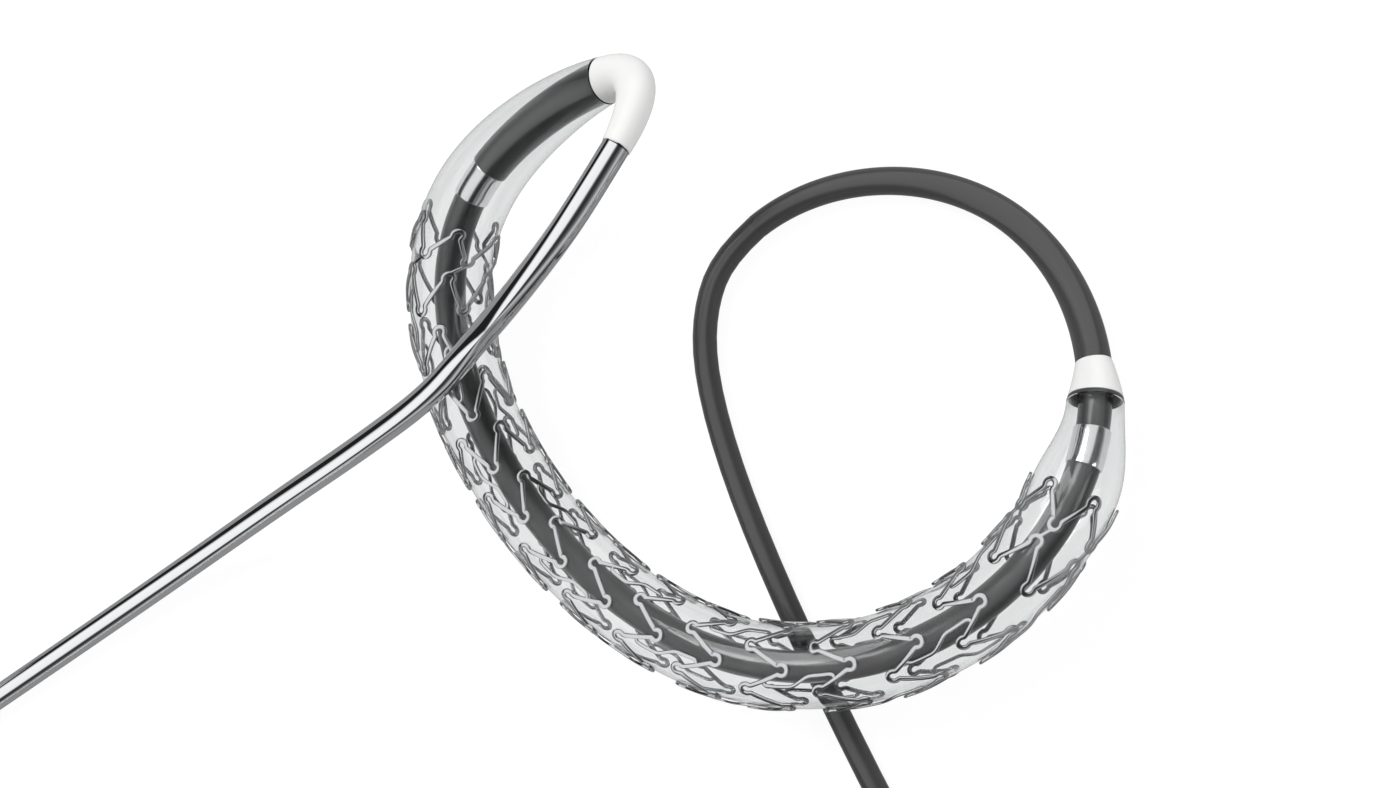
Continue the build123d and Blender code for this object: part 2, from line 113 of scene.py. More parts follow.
# %% [markdown]
# ## From arrays to meshes
# Every new piece is a grid of points, or several, that becomes a mesh in one go. Where a
# grid shrinks to one point, at the end of a rod, its doubled points are welded, so the
# piece is closed like the solid metal or plastic that it stands for.

# %% Mesh helpers


def grid_faces(rows, columns, closed_rows):
    """Corner numbers of the four-sided faces of a grid that is closed along its columns."""
    i, j = np.meshgrid(np.arange(rows if closed_rows else rows - 1), np.arange(columns), indexing="ij")
    ni, nj = (i + 1) % rows, (j + 1) % columns
    corners = [i * columns + j, i * columns + nj, ni * columns + nj, ni * columns + j]
    return np.stack(corners, axis=-1).reshape(-1, 4)


def mesh_piece(name, grids, closed_rows=False):
    """One object from grids of (rows, columns, 3) points, welded, smooth and faced outwards."""
    starts = np.cumsum([0] + [g.shape[0] * g.shape[1] for g in grids])
    faces = np.vstack([grid_faces(*g.shape[:2], closed_rows) + at for g, at in zip(grids, starts)])
    mesh = bpy.data.meshes.new(name)
    mesh.vertices.add(int(starts[-1]))
    mesh.vertices.foreach_set("co", np.concatenate([g.reshape(-1) for g in grids]))
    mesh.loops.add(faces.size)
    mesh.loops.foreach_set("vertex_index", faces.reshape(-1))
    mesh.polygons.add(len(faces))
    mesh.polygons.foreach_set("loop_start", np.arange(0, faces.size, 4))
    mesh.update(calc_edges=True)
    welded = bmesh.new()
    welded.from_mesh(mesh)
    bmesh.ops.remove_doubles(welded, verts=welded.verts, dist=WELD)
    bmesh.ops.recalc_face_normals(welded, faces=welded.faces)
    welded.to_mesh(mesh)
    welded.free()
    mesh.shade_smooth()
    piece = bpy.data.objects.new(name, mesh)
    bpy.context.scene.collection.objects.link(piece)
    return piece


def dress(piece, material, slot, *nodes):
    """Gives a piece its material, and puts it in the place of the solids that it stands for."""
    piece.data.materials.append(material)
    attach(piece, "root")
    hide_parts(*nodes)
    faces = len(piece.data.polygons) if piece.type == "MESH" else 0
    print(piece.name, "stands for", ", ".join(nodes), "faces", faces)


# %% [markdown]
# ## Materials
# Each starts from the real one: electropolished steel, drawn steel wire, platinum
# marker bands, a blown nylon film, dark nylon tubing, and a white soft polymer. One
# helper adds a node, another turns a colour's sRGB hex value into the linear one that the
# shader reads, and small noises on the piece's own coordinates vary the gloss, because no
# drawn or polished surface is equally smooth all over.

# %% Material helpers


def linear(hex_colour):
    """Linear colour of an sRGB hex value: ((c + 0.055) / 1.055) ^ 2.4, or c / 12.92 if dark."""
    srgb = [int(hex_colour[k : k + 2], 16) / 255 for k in (1, 3, 5)]
    return [c / 12.92 if c < 0.04045 else ((c + 0.055) / 1.055) ** 2.4 for c in srgb] + [1.0]


def add_node(tree, kind, inputs=None, **settings):
    """Adds a node, sets its settings, and sets or links its inputs."""
    made = tree.nodes.new(kind)
    for key, value in settings.items():
        setattr(made, key, value)
    for key, value in (inputs or {}).items():
        if isinstance(value, bpy.types.NodeSocket):
            tree.links.new(value, made.inputs[key])
        else:
            made.inputs[key].default_value = value
    return made


def finish_of(name, shader_values, roughness, spread, grain, bump=0.0):
    """A material whose roughness wanders by spread with a noise of grain cells per metre,
    and whose surface is as uneven as bump."""
    material = bpy.data.materials.new(name)
    material.use_nodes = True
    tree = material.node_tree
    shader = tree.nodes["Principled BSDF"]
    for key, value in shader_values.items():
        shader.inputs[key].default_value = value
    place = add_node(tree, "ShaderNodeTexCoord").outputs["Object"]
    noise = add_node(tree, "ShaderNodeTexNoise", {"Vector": place, "Scale": grain, "Detail": 4.0})
    limits = {"Value": noise.outputs["Fac"], "To Min": roughness - spread, "To Max": roughness + spread}
    gloss = add_node(tree, "ShaderNodeMapRange", limits)
    tree.links.new(gloss.outputs["Result"], shader.inputs["Roughness"])
    if bump:
        height = {"Height": noise.outputs["Fac"], "Strength": bump, "Distance": 0.01 * MM}
        uneven = add_node(tree, "ShaderNodeBump", height)
        tree.links.new(uneven.outputs["Normal"], shader.inputs["Normal"])
    return material


# %% The finishes of the working end
stent_metal = finish_of(
    "electropolished steel", {"Base Color": linear("#B9BABC"), "Metallic": 1.0},
    roughness=0.15, spread=0.04, grain=9000, bump=0.03,
)
wire_metal = finish_of(
    "drawn steel wire", {"Base Color": linear("#D2D3D5"), "Metallic": 1.0},
    roughness=0.06, spread=0.02, grain=2500,
)
marker_metal = finish_of(
    "platinum band", {"Base Color": linear("#D9D9DA"), "Metallic": 1.0},
    roughness=0.13, spread=0.03, grain=3000,
)
dark_tube = finish_of(
    "dark nylon tube",
    {"Base Color": linear("#434344"), "IOR": 1.4, "Coat Weight": 0.3, "Coat Roughness": 0.06},
    roughness=0.28, spread=0.01, grain=900,
)
white_tip = finish_of(
    "soft white polymer",
    {"Base Color": linear("#F1F1F0"), "Coat Weight": 0.3, "Coat Roughness": 0.15},
    roughness=0.34, spread=0.05, grain=2200,
)
balloon_film = finish_of(
    "clear nylon film",
    {"Base Color": linear("#F8F9F9"), "IOR": 1.34, "Transmission Weight": 1.0},
    roughness=0.03, spread=0.015, grain=1200,
)
film_tree = balloon_film.node_tree
haze = add_node(film_tree, "ShaderNodeVolumeAbsorption", {"Color": linear("#8C8E90"), "Density": 2900.0})
film_tree.links.new(haze.outputs["Volume"], film_tree.nodes["Material Output"].inputs["Volume"])

# %% [markdown]
# ## Round pieces on the axis
# Shafts, bands, bonds and the balloon are all turned forms, so each is a profile of arc
# length and radius that is carried round the bent axis. A hollow piece has a closed
# profile, out along its outer side and back along its bore, with a small round at each lip.

# %% Profiles
NEAR_CONE_END = 21.10
FAR_CONE_AT = 54.30
TIP_AT, TIP_END = 61.94, 66.05
BOND_AT, BOND_END = 16.63, 18.00
BOND_START_DIA, BOND_END_DIA, BOND_WALL = 1.16, 1.82, 0.08
TIP_START_DIA, TIP_END_DIA = 1.52, 0.95
BALLOON_DIA, BALLOON_WALL = 2.75, 0.04
NECK_THICKENING = 0.9  # how the film thickens as it narrows, as a share of its wall
WIRE_DIA, INNER_DIA, INNER_AT = 0.889, 1.07, 17.05
BORE_DIA = WIRE_DIA + 0.02
CORE_END = TIP_END + 0.02  # the wire's core ends just out of the tip
SHAFT_DIA, SHAFT_END_DIA, TAPER_AT = 0.86, 1.15, 1.60


def balloon_radius(s):
    """From the bond it grows as half a cosine wave to full size, and from the far cone's
    start it falls as distance to the power 1.5 to the size of the tip."""
    near = np.clip((s - BOND_END) / (NEAR_CONE_END - BOND_END), 0, 1)
    far = np.clip((s - FAR_CONE_AT) / (TIP_AT - FAR_CONE_AT), 0, 1)
    grown = BOND_END_DIA + (BALLOON_DIA - BOND_END_DIA) * (1 - np.cos(np.pi * near)) / 2
    return (grown - (BALLOON_DIA - TIP_START_DIA) * far**1.5) / 2


def tapered(start, end, start_dia, end_dia):
    """Radius that changes evenly with arc length between two diameters."""
    return lambda s: np.interp(s, (start, end), (start_dia / 2, end_dia / 2))


def even(dia):
    """The same radius everywhere."""
    return lambda s: np.full_like(s, dia / 2)


def film_inner(s):
    """Radius of the film's inner face: the wall is thicker where the balloon is narrower."""
    narrowing = 1 - 2 * balloon_radius(s) / BALLOON_DIA
    return balloon_radius(s) - BALLOON_WALL * (1 + NECK_THICKENING * narrowing)


def turned(name, start, end, outer, inner=None, step=0.16, sides=40, lip=0.02):
    """A piece on the axis between two arc lengths, its lips rounded by a quarter circle."""
    s = np.linspace(start + lip, end - lip, max(3, int((end - start) / step)))
    turn = np.linspace(0, np.pi / 2, 5)
    round_s = np.concatenate([start + lip - lip * np.cos(turn), s, end - lip + lip * np.sin(turn)])
    drop = np.concatenate([lip * (1 - np.sin(turn)), 0 * s, lip * (1 - np.cos(turn))])
    radius = outer(round_s) - drop
    if inner is None:
        profile_s = np.concatenate([[start], round_s, [end]])
        radius = np.concatenate([[0], radius, [0]])
    else:
        back = np.linspace(end, start, len(s))
        profile_s = np.concatenate([round_s, back])
        radius = np.concatenate([radius, inner(back)])
    angle = np.linspace(0, 2 * np.pi, sides, endpoint=False)
    points, _ = on_axis(profile_s[:, None], angle[None, :], radius[:, None])
    return mesh_piece(name, [points], closed_rows=inner is not None)


# %% [markdown]
# ## The balloon
# The real one is blown from thin nylon and inflated hard, so it is round, with a steep
# shoulder at the bond and a long taper toward the tip. Both faces of the film are there,
# so that light bends and glances off it as it does off a real film. The film is 0.04 mm
# thick where it is blown out fully and thicker toward its necks, where it was stretched less.

# %% Balloon
balloon = turned(
    "balloon_skin", BOND_END, TIP_AT, balloon_radius, film_inner, step=0.14, sides=64, lip=0.004
)
dress(balloon, balloon_film, "balloon_film", "balloon")

# %% [markdown]
# ## Shafts, bands and tip
# The inner shaft is the tunnel for the guidewire. Two platinum bands on it show the ends of
# the stent on an X-ray, and past the second a short sleeve thickens it toward the white tip,
# which is softer and tapers down onto the wire. At the other end the outer shaft flares
# into a dark socket, and a white collar bonds the balloon to it.

# %% Pieces inside the balloon
BAND_DIA, BAND_LENGTH, NEAR_BAND_AT, FAR_BAND_AT = 1.20, 1.24, 18.98, 55.16
SLEEVE_AT, SLEEVE_START_DIA, SLEEVE_END_DIA = FAR_BAND_AT + BAND_LENGTH, 1.27, 1.38
inner_tube = turned("inner_tube", INNER_AT, TIP_AT, even(INNER_DIA), even(BORE_DIA))
dress(inner_tube, dark_tube, "dark_shaft", "inner_shaft")
wire_in_tube = turned("wire_in_tube", INNER_AT, CORE_END, even(WIRE_DIA), step=0.3)
dress(wire_in_tube, wire_metal, "wire_metal", "guidewire_core")
for place, node in ((NEAR_BAND_AT, "proximal_marker_band"), (FAR_BAND_AT, "distal_marker_band")):
    band = turned(node + "_ring", place, place + BAND_LENGTH, even(BAND_DIA), even(INNER_DIA), lip=0.025)
    dress(band, marker_metal, "marker_metal", node)
sleeve = turned(
    "sleeve_to_tip", SLEEVE_AT, TIP_AT, tapered(SLEEVE_AT, TIP_AT, SLEEVE_START_DIA, SLEEVE_END_DIA),
    even(INNER_DIA), sides=64, lip=0.03,
)
dress(sleeve, dark_tube, "dark_shaft", "distal_sleeve")

# %% Tip, collar and socket
COLLAR_END = BOND_END - 0.14  # the socket's rim stands out of the collar by this much
RIM_RISE = 0.02  # length over which the socket swells from inside the collar to its rim
SEAT_GAP = 0.003
THROAT_DIA, MOUTH_DIA = INNER_DIA + 0.01, BOND_END_DIA - 0.26  # the socket's funnel
tip_outer = tapered(TIP_AT, TIP_END, TIP_START_DIA, TIP_END_DIA)
tip = turned("white_tip", TIP_AT, TIP_END, tip_outer, even(BORE_DIA), step=0.08, sides=56, lip=0.03)
dress(tip, white_tip, "white_polymer", "soft_tip")
collar_outer = tapered(BOND_AT, BOND_END, BOND_START_DIA, BOND_END_DIA)
collar = turned(
    "white_collar", BOND_AT, COLLAR_END, collar_outer, lambda s: collar_outer(s) - BOND_WALL,
    step=0.06, sides=56, lip=0.03,
)
dress(collar, white_tip, "white_polymer", "proximal_bond")


def socket_outer(s):
    """Radius of the socket: inside the collar's wall, then out to the rim beyond it."""
    depth = np.interp(s, (COLLAR_END, COLLAR_END + RIM_RISE), (BOND_WALL + SEAT_GAP, SEAT_GAP))
    return collar_outer(s) - depth


socket = turned(
    "flared_socket", BOND_AT, BOND_END, socket_outer,
    tapered(INNER_AT, BOND_END, THROAT_DIA, MOUTH_DIA), step=0.03, lip=0.03,
)
dress(socket, dark_tube, "dark_shaft", "shaft_socket")
taper = turned(
    "tapered_end_of_shaft", TAPER_AT, BOND_AT,
    tapered(TAPER_AT, BOND_AT, SHAFT_DIA, SHAFT_END_DIA), lip=0.01,
)
dress(taper, dark_tube, "dark_shaft", "tapered_shaft")

# %% [markdown]
# ## The stent
# A stent is cut by laser from one thin tube and electropolished, which rounds its edges.
# It is drawn here as it would be for the laser: on the flat, as centre lines of struts.
# Each ring is one closed line of crowns that face the two ways by turns. Flexible links
# shaped like an S join most rings, so that the lattice bends with the vessel, and short
# slanted bars join the two end rings. The flat lines are then wrapped on the balloon.

# %% Places of the rings
RINGS, CROWNS = 16, 6
STENT_WALL, STRUT_WIDTH, LINK_WIDTH = 0.09, 0.155, 0.125
LINK_WALL = STENT_WALL - 0.012
STENT_CLEAR = 0.032  # strut to film
STENT_MIDDLE = BALLOON_DIA / 2 + STENT_CLEAR + STENT_WALL / 2
PERIOD = 2 * np.pi * STENT_MIDDLE / CROWNS
CROWN_ANGLE, TWIST_FROM, TWIST_RATE = 258, 42.4, 0.4  # degrees, mm, degrees per square mm
RING_HEIGHT, BULB_RADIUS, BULB_NECK = 1.70, 0.185, 0.12
LAST_RING_AT, END_PITCH, RING_PITCH, RING_BUNCH = 21.65, 1.88, 2.185, 1.05
inner_rings = np.arange(RINGS - 2)
inner_at = (
    LAST_RING_AT + END_PITCH + RING_PITCH * inner_rings
    + RING_BUNCH * np.sin(np.pi * inner_rings / (RINGS - 3))
)
END_HEIGHT, END_SHIFT = 1.46, 0.11  # the two end rings are lower and nearer their neighbours
NEAR_TURN, FAR_TURN = 0.12, 0.27  # and turned, in periods, so that their links lie aslant
RING_AT = np.concatenate(
    [[LAST_RING_AT + END_SHIFT], inner_at, [inner_at[-1] + END_PITCH - END_SHIFT]]
)
print("rings at", np.round(RING_AT, 2))

# %% [markdown]
# ## Struts as swept sections
# A strut's section is a small rectangle with rounded corners. It is carried along the
# wrapped centre line, square to the balloon, so every strut lies flat on the film. The
# centre lines are drawn as straight runs and arcs, then each point is averaged with its
# neighbours, which rounds the shoulders as polishing does.

# %% Strut helpers


def evened(line, spacing, width, closed):
    """Points an even spacing apart on a line, each averaged with its neighbours by weights
    exp(-(distance / width)^2 / 2). Every second one is kept."""
    if closed:
        shift = line[-1] - line[0]
    run = np.concatenate([[0], np.cumsum(np.linalg.norm(np.diff(line, axis=0), axis=1))])
    count = int(run[-1] / spacing)
    reach = int(3 * width / spacing)
    places = np.linspace(0, run[-1], count + 1)
    points = np.stack([np.interp(places, run, line[:, k]) for k in range(2)], axis=1)
    if closed:
        points = points[:-1]
        before, after = points[-reach:] - shift, points[:reach] + shift
    else:
        before = 2 * points[0] - points[reach:0:-1]
        after = 2 * points[-1] - points[-2 : -reach - 2 : -1]
    weights = np.exp(-((np.arange(-reach, reach + 1) * spacing / width) ** 2) / 2)
    weights = weights / weights.sum()
    padded = np.vstack([before, points, after])
    smooth = np.stack([np.convolve(padded[:, k], weights, "valid") for k in range(2)], axis=1)
    return smooth[::2] if closed else np.vstack([smooth[:-1:2], smooth[-1:]])


def rounded_section(width, wall, corner=0.028):
    """Across and outward places round a rectangle with quarter circles at its corners."""
    turn = np.linspace(0, np.pi / 2, 3)
    quarters = np.concatenate([turn + k * np.pi / 2 for k in range(4)])
    sign_x = np.repeat([1, -1, -1, 1], len(turn))
    sign_y = np.repeat([1, 1, -1, -1], len(turn))
    across = sign_x * (width / 2 - corner) + corner * np.cos(quarters)
    outward = sign_y * (wall / 2 - corner) + corner * np.sin(quarters)
    return across, outward


def wrapped(flat, ring_at, width, wall, closed):
    """A strut on the balloon. A flat point (a, c) stands at arc length ring_at - a and at an
    angle of c over the wall's radius, taken back from the lattice's own angle, which grows
    with the square of the distance past TWIST_FROM. The section is square to the film."""
    s = ring_at - flat[:, 0]
    twist = np.radians(CROWN_ANGLE + TWIST_RATE * np.clip(s - TWIST_FROM, 0, None) ** 2)
    angle = twist - 2 * np.pi * flat[:, 1] / (CROWNS * PERIOD)
    middle, outward = on_axis(s, angle, np.float64(STENT_MIDDLE))
    if closed:
        along = np.roll(middle, -1, axis=0) - np.roll(middle, 1, axis=0)
    else:
        along = np.gradient(middle, axis=0)
    side = unit(np.cross(unit(along), outward))
    across, out = rounded_section(width, wall)
    rim = across[None, :, None] * side[:, None, :] + out[None, :, None] * outward[:, None, :]
    grid = middle[:, None, :] + rim * MM
    if closed:
        return np.vstack([grid, grid[:1]])
    ends = [np.repeat(middle[k][None, None], len(across), axis=1) for k in (0, -1)]
    return np.vstack([ends[0], grid, ends[1]])


# %% Centre lines on the flat
RING_SPACING, RING_ROUNDING = 0.030, 0.022
LINK_SPACING, LINK_ROUNDING = 0.035, 0.045
KEYHOLE_HALF_ARC = 105  # degrees
SHOULDER = 0.75  # half width of a keyhole's shoulder, in keyhole radii


def crown_line(middle, facing, height):
    """A keyhole: a circle's arc of 210 degrees round the tip of the crown, with a shoulder
    a little nearer the middle line at each side."""
    centre = height / 2 - STRUT_WIDTH / 2 - BULB_RADIUS
    turn = np.radians(np.linspace(-KEYHOLE_HALF_ARC, KEYHOLE_HALF_ARC, 17))
    shoulder = [centre - BULB_NECK]
    a = np.concatenate([shoulder, centre + BULB_RADIUS * np.cos(turn), shoulder])
    edge = SHOULDER * BULB_RADIUS
    c = np.concatenate([[-edge], BULB_RADIUS * np.sin(turn), [edge]])
    return np.stack([facing * a, middle + c], axis=1)


def ring_line(first_facing, turned_by, height):
    """Twelve crowns in a row that face the two ways by turns, closed round the balloon."""
    crowns = [
        crown_line((turned_by + k / 2) * PERIOD, first_facing * (-1) ** k, height)
        for k in range(2 * CROWNS)
    ]
    line = np.vstack(crowns + [crowns[0][:1] + (0, CROWNS * PERIOD)])
    return evened(line, RING_SPACING, RING_ROUNDING, closed=True)


def flexible_line(half_gap, c_middle):
    """An S: from a strut it hooks round onto a straight run, slopes across to the other
    run and hooks into the next ring's strut. The second half is the first turned about."""
    first = np.array([
        (half_gap, 0.0), (half_gap, 0.09), (half_gap - 0.05, 0.16), (half_gap - 0.15, 0.185),
        (0.36, 0.185), (0.22, 0.14),
    ])
    whole = np.vstack([first * (1, -1), (first * (-1, 1))[::-1]])
    return evened(whole + (0, c_middle), LINK_SPACING, LINK_ROUNDING, closed=False)


# %% Cut and wrap the stent
BAR_POINTS = 9
struts = [
    wrapped(ring_line(1, 0.0, RING_HEIGHT), RING_AT[k], STRUT_WIDTH, STENT_WALL, True)
    for k in range(1, RINGS - 1)
]
for k, turned_by in ((0, NEAR_TURN), (RINGS - 1, -FAR_TURN)):
    line = ring_line(-1, turned_by, END_HEIGHT)
    struts.append(wrapped(line, RING_AT[k], STRUT_WIDTH, STENT_WALL, True))
gaps = np.diff(RING_AT)
low_tip, high_tip = END_HEIGHT / 2 - STRUT_WIDTH / 2, RING_HEIGHT / 2 - STRUT_WIDTH / 2
for crown in range(CROWNS):
    along = np.linspace(gaps[0] / 2 - low_tip, high_tip - gaps[0] / 2, BAR_POINTS)
    near_across = np.linspace(crown + NEAR_TURN, crown, BAR_POINTS) * PERIOD
    far_across = np.linspace(crown + 0.5, crown + 0.5 - FAR_TURN, BAR_POINTS) * PERIOD
    near_bar = np.stack([along, near_across], axis=1)
    far_bar = np.stack([-along[::-1], far_across], axis=1)
    for bar, k in ((near_bar, 0), (far_bar, RINGS - 2)):
        struts.append(wrapped(bar, RING_AT[k] + gaps[k] / 2, LINK_WIDTH, LINK_WALL, False))
for k in range(1, RINGS - 2):
    shift = 0.25 if k % 2 == 0 else -0.75
    for pair in range(CROWNS // 2):
        line = flexible_line(gaps[k] / 2, (shift + 2 * pair) * PERIOD)
        struts.append(wrapped(line, RING_AT[k] + gaps[k] / 2, LINK_WIDTH, LINK_WALL, False))
print("stent:", len(struts), "struts, rings and links")
stent = mesh_piece("stent_lattice", struts)
dress(stent, stent_metal, "stent_metal", "stent")

# %% [markdown]
# ## The two cords
# The catheter is 1.4 m long from its Y-shaped hub to its tip, most of it outer shaft, and
# the guidewire goes on 0.3 m past the tip. Both are springy, so they leave in long gentle
# bends, and what is not needed lies in a neat round coil beside the object. Each is one
# smooth spline with its turns in it. A wound coil fills its rows and columns like pipes
# in a stack, so the turns' places are listed as column and row.

# %% Cord helpers
SLIDE_FROM = 0.72  # share of a turn that the cord holds its place in the stack


def wound(centre, across, dia, columns, places, start, end_share, per_turn=20):
    """Points of a coil's turns, clockwise from the angle start. A turn holds its column and
    row for most of the way round and slides to the next over the last part."""
    turns = len(places) - 1 + end_share
    t = np.linspace(0, turns, int(turns * per_turn) + 1)[1:]
    index = np.minimum(t.astype(int), len(places) - 1)
    after = np.minimum(index + 1, len(places) - 1)
    slide = np.clip((t - index - SLIDE_FROM) / (1 - SLIDE_FROM), 0, 1)
    slide = slide * slide * (3 - 2 * slide)
    table = np.array(places, dtype=float)
    column, row = (table[index] * (1 - slide)[:, None] + table[after] * slide[:, None]).T
    radius = across / 2 + (column - (columns - 1) / 2) * dia
    angle = np.radians(start) - 2 * np.pi * t
    height = dia / 2 + row * dia * math.sqrt(3) / 2
    return np.stack(
        [centre[0] + radius * np.cos(angle), centre[1] + radius * np.sin(angle), height], axis=1
    )


def entry_angle(route, centre):
    """Degrees round a coil's centre at which the route's last point lies."""
    return math.degrees(math.atan2(route[-1, 1] - centre[1], route[-1, 0] - centre[0]))


def cord_piece(name, route, dia, smooth=4, sides=6):
    """A round cord whose centre line is a NURBS of order 3 that the route's points pull."""
    curve = bpy.data.curves.new(name, "CURVE")
    curve.dimensions = "3D"
    curve.resolution_u = smooth
    curve.bevel_depth = dia / 2 * MM
    curve.bevel_resolution = sides
    curve.use_fill_caps = True
    spline = curve.splines.new("NURBS")
    spline.points.add(len(route) - 1)
    places = np.hstack([(route - ORIGIN) * MM, np.ones((len(route), 1))])
    spline.points.foreach_set("co", places.reshape(-1))
    spline.order_u = 3
    spline.use_endpoint_u = True
    cord = bpy.data.objects.new(name, curve)
    bpy.context.scene.collection.objects.link(cord)
    return cord


# %% Outer shaft
SHAFT_COIL_AT, SHAFT_COIL_DIA = (3.00, -25.50), 16.2
shaft_start = (on_axis(TAPER_AT, 0.0, 0.0)[0] / MM + ORIGIN)[None]
shaft_route = np.array([
    (0.95, 4.75, 0.43), (0.28, 3.05, 0.43), (0.24, 0.90, 0.43), (1.10, -2.39, 0.43),
    (2.94, -6.90, 0.43), (6.08, -13.27, 0.43), (8.35, -17.30, 0.43), (10.29, -21.94, 0.43),
])
shaft_turns = [
    (2, 0), (2.5, 1), (2, 2), (2.5, 3), (2, 4), (2.5, 5),
    (1.5, 5), (1, 4), (1.5, 3), (1, 2), (1.5, 1), (1, 0),
    (0, 0), (0.5, 1), (0, 2), (0.5, 3), (0, 4), (0.5, 5),
    (4, 4), (3, 4), (3.5, 3), (4, 2), (3, 2), (3.5, 1), (4, 0), (3, 0),
]
tail_route = np.array([
    (-1.00, -34.40, 0.43), (-5.20, -33.75, 1.70), (-10.60, -33.60, 3.80), (-16.30, -33.60, 3.80),
])
shaft_entry = entry_angle(shaft_route, SHAFT_COIL_AT)
shaft_coil = wound(
    SHAFT_COIL_AT, SHAFT_COIL_DIA, SHAFT_DIA, 5, shaft_turns, shaft_entry, (shaft_entry + 90) / 360
)
outer_shaft = cord_piece(
    "outer_shaft_cord", np.vstack([shaft_start, shaft_route, shaft_coil, tail_route]), SHAFT_DIA
)
dress(outer_shaft, dark_tube, "outer_shaft", "outer_shaft", "outer_shaft_coil", "outer_shaft_tail")

# %% Guidewire
WIRE_COIL_AT, WIRE_COIL_DIA = (-36.42, -11.57), 10.0
wire_start = (on_axis(TIP_END, 0.0, 0.0)[0] / MM + ORIGIN)[None]
wire_route = np.array([
    (-1.74, 6.09, 8.23), (-2.75, 4.73, 8.05), (-4.55, 3.02, 6.95), (-6.57, 1.50, 5.24),
    (-8.05, 0.02, 4.71), (-11.02, -1.75, 3.50), (-14.93, -3.90, 2.01), (-20.07, -6.97, 0.62),
    (-26.99, -11.43, 0.4445), (-33.70, -15.77, 0.4445),
])
wire_turns = [(1, 0), (0, 0), (0.5, 1), (0, 2), (1, 2), (2, 2), (1.5, 1), (2, 0)]
wire_entry = entry_angle(wire_route, WIRE_COIL_AT)
wire_coil = wound(WIRE_COIL_AT, WIRE_COIL_DIA, WIRE_DIA, 3, wire_turns, wire_entry, 1.0)
guidewire = cord_piece(
    "guidewire_cord", np.vstack([wire_start, wire_route, wire_coil]), WIRE_DIA, smooth=6, sides=8
)
guidewire.data.splines[0].points[-1].radius = 0.35  # a rounded end
dress(guidewire, wire_metal, "wire_metal", "guidewire", "guidewire_coil")

# %% [markdown]
# ## Hub and strain relief
# These lie outside the photograph, but a catheter ends in them: a Y-shaped hub moulded
# from a milky hard plastic, and a dark rubber sleeve that keeps the shaft from kinking
# where it goes in. Their solids have the usual plain shape and stay.

# %% Finishes of the hub
hub_polymer = finish_of(
    "moulded polycarbonate",
    {"Base Color": linear("#E4E6E7"), "IOR": 1.58, "Coat Weight": 0.4, "Coat Roughness": 0.08,
     "Subsurface Weight": 0.25, "Subsurface Scale": 0.0015},
    roughness=0.28, spread=0.02, grain=700, bump=0.01,
)
relief_rubber = finish_of(
    "strain relief rubber", {"Base Color": linear("#3A3B3D"), "IOR": 1.45},
    roughness=0.58, spread=0.08, grain=1500, bump=0.15,
)
for node, material in (("hub", hub_polymer), ("strain_relief", relief_rubber)):
    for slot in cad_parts[node].material_slots:
        slot.material = material
    print(node, "keeps its solid, finished in", material.name)

# %% Where the two cords start on the axis
on_axis(TAPER_AT, 0.0, 0.0)[0]
on_axis(TIP_END, 0.0, 0.0)[0]

# %% [markdown]
# ## Floor, light and camera
# The photograph is a cut-out on white. The floor is white to the camera and through the
# clear film, and still takes a soft shadow. It is darker in reflections, which gives film,
# wire and struts the grey outlines they have in the photograph. The light is a plain
# studio's: a large soft lamp overhead and a weaker one from the side. Polished steel in an
# all-white room would look like white paint, so reflections see a room of strips.

# %% Floor
FLOOR_GLOW, FLOOR_IN_MIRRORS, GLOW_SHARE = 1.08, 0.30, 0.86
FLOOR_HALF, FLOOR_Z = 1500, -0.05
floor_material = bpy.data.materials.new("white floor")
floor_material.use_nodes = True
floor_tree = floor_material.node_tree
floor_tree.nodes.clear()
light_path = add_node(floor_tree, "ShaderNodeLightPath")
seen = add_node(
    floor_tree, "ShaderNodeMath",
    {0: light_path.outputs["Is Camera Ray"], 1: light_path.outputs["Is Glossy Ray"]}, operation="ADD",
)
seen = add_node(
    floor_tree, "ShaderNodeMath",
    {0: seen.outputs[0], 1: light_path.outputs["Is Transmission Ray"]}, operation="ADD",
)
share = add_node(floor_tree, "ShaderNodeMath", {0: seen.outputs[0], 1: GLOW_SHARE}, operation="MULTIPLY")
share.use_clamp = True
matt = add_node(floor_tree, "ShaderNodeBsdfDiffuse", {"Color": linear("#F6F6F6")})
mirrored = add_node(
    floor_tree, "ShaderNodeMath",
    {0: light_path.outputs["Is Glossy Ray"], 1: light_path.outputs["Is Transmission Ray"]},
    operation="SUBTRACT",
)
mirrored.use_clamp = True
levels = {"Value": mirrored.outputs[0], "To Min": FLOOR_GLOW, "To Max": FLOOR_IN_MIRRORS}
brightness = add_node(floor_tree, "ShaderNodeMapRange", levels).outputs["Result"]
glow = add_node(floor_tree, "ShaderNodeEmission", {"Color": (1, 1, 1, 1), "Strength": brightness})
mixed = add_node(
    floor_tree, "ShaderNodeMixShader", {0: share.outputs[0], 1: matt.outputs[0], 2: glow.outputs[0]}
)
add_node(floor_tree, "ShaderNodeOutputMaterial", {"Surface": mixed.outputs[0]})
floor_mesh = bpy.data.meshes.new("floor")
corners = [(-1, -1), (1, -1), (1, 1), (-1, 1)]
floor_points = [(x * FLOOR_HALF * MM, y * FLOOR_HALF * MM, FLOOR_Z * MM) for x, y in corners]
floor_mesh.from_pydata(floor_points, [], [(0, 1, 2, 3)])
floor_mesh.materials.append(floor_material)
floor = bpy.data.objects.new("floor", floor_mesh)
bpy.context.scene.collection.objects.link(floor)

# %% Lamps and world


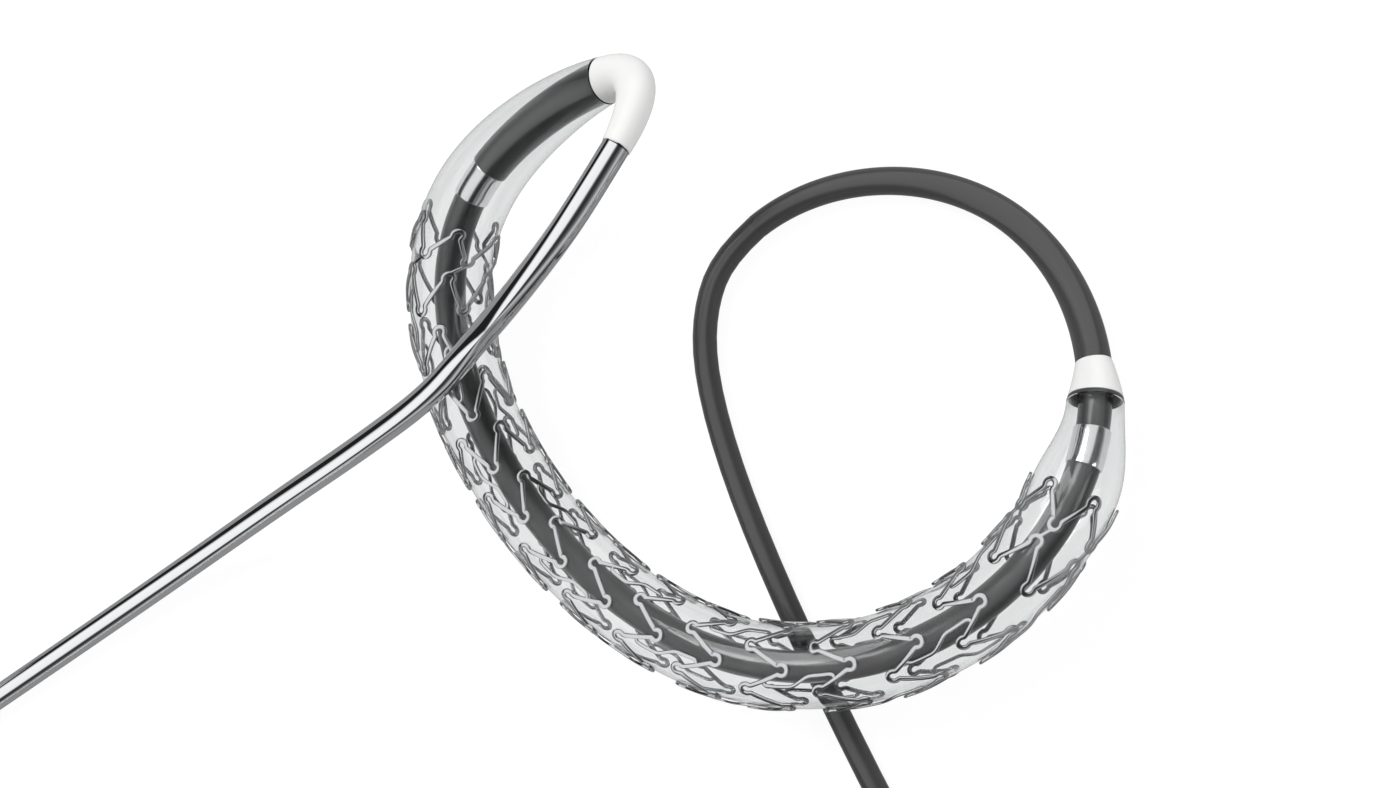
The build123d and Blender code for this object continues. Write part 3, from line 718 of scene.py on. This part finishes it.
def soft_lamp(name, place, size, power):
    """A square lamp at place that faces the object, in millimetres and watts."""
    data = bpy.data.lights.new(name, "AREA")
    data.size = size * MM
    data.energy = power
    lamp = bpy.data.objects.new(name, data)
    lamp.location = [x * MM for x in place]
    facing = Vector([-x for x in place])
    lamp.rotation_euler = facing.to_track_quat("-Z", "Y").to_euler()
    lamp.visible_glossy = False
    bpy.context.scene.collection.objects.link(lamp)


ROOM_LEVEL = 0.42
TOWARD_CAMERA = (0.208, 0, 0.978)
ACROSS_WIRE = (-0.812, 0.56, 0.173)  # up and to the left in the picture, square to the wire
soft_lamp("key", (-140, 160, 260), 150, 0.72)
soft_lamp("side", (260, -60, 170), 120, 0.22)
world = bpy.data.worlds.new("studio")
bpy.context.scene.world = world
world.use_nodes = True
sky = world.node_tree
direction = add_node(sky, "ShaderNodeTexCoord").outputs["Generated"]
# strips of light and dark lie parallel to the run of wire near the tip, at a share of the
# full turn round that wire, which starts below it
ahead = add_node(sky, "ShaderNodeVectorMath", {0: direction, 1: TOWARD_CAMERA}, operation="DOT_PRODUCT")
aside = add_node(sky, "ShaderNodeVectorMath", {0: direction, 1: ACROSS_WIRE}, operation="DOT_PRODUCT")
across = add_node(sky, "ShaderNodeCombineXYZ", {"X": ahead.outputs["Value"], "Y": aside.outputs["Value"]})
turn = add_node(sky, "ShaderNodeTexGradient", {"Vector": across.outputs["Vector"]}, gradient_type="RADIAL")
bands = add_node(sky, "ShaderNodeValToRGB", {"Fac": turn.outputs["Fac"]})
strips = (  # share of the turn, brightness
    (0.0, 0.25), (0.13, 0.30), (0.23, 0.25), (0.30, 0.75), (0.36, 0.16), (0.42, 0.03), (0.47, 0.08),
    (0.51, 1.3), (0.67, 1.4), (0.695, 0.9), (0.71, 0.02), (1.0, 0.02),
)
for k, (at, level) in enumerate(strips):
    stop = bands.color_ramp.elements[k] if k < 2 else bands.color_ramp.elements.new(at)
    stop.position = at
    stop.color = (level, level, level, 1)
glossy = add_node(sky, "ShaderNodeLightPath").outputs["Is Glossy Ray"]
plain = add_node(sky, "ShaderNodeBackground", {"Color": (1, 1, 1, 1), "Strength": ROOM_LEVEL})
banded = add_node(sky, "ShaderNodeBackground", {"Color": bands.outputs["Color"]})
either = add_node(sky, "ShaderNodeMixShader", {0: glossy, 1: plain.outputs[0], 2: banded.outputs[0]})
sky.links.new(either.outputs[0], sky.nodes["World Output"].inputs["Surface"])

# %% [markdown]
# The camera stands nearly overhead, tilted by 12 degrees to the right, 60 mm from the
# middle of the loops: so close that the wire in front looks thicker than it is.

# %% Camera
TILT, DISTANCE, FOCAL_PX, FRAME_PX, SENSOR_MM = 12.0, 60.0, 1722, 1400, 36
camera_data = bpy.data.cameras.new("camera")
camera_data.sensor_width = SENSOR_MM
camera_data.lens = SENSOR_MM * FOCAL_PX / FRAME_PX
camera_data.clip_start = 0.001
camera = bpy.data.objects.new("camera", camera_data)
back = np.array([math.sin(math.radians(TILT)), 0, math.cos(math.radians(TILT))])
camera.location = (DISTANCE * back - ORIGIN) * MM
camera.rotation_euler = (0, math.radians(TILT), 0)
bpy.context.scene.collection.objects.link(camera)
bpy.context.scene.camera = camera
bpy.context.scene.view_settings.view_transform = "Standard"
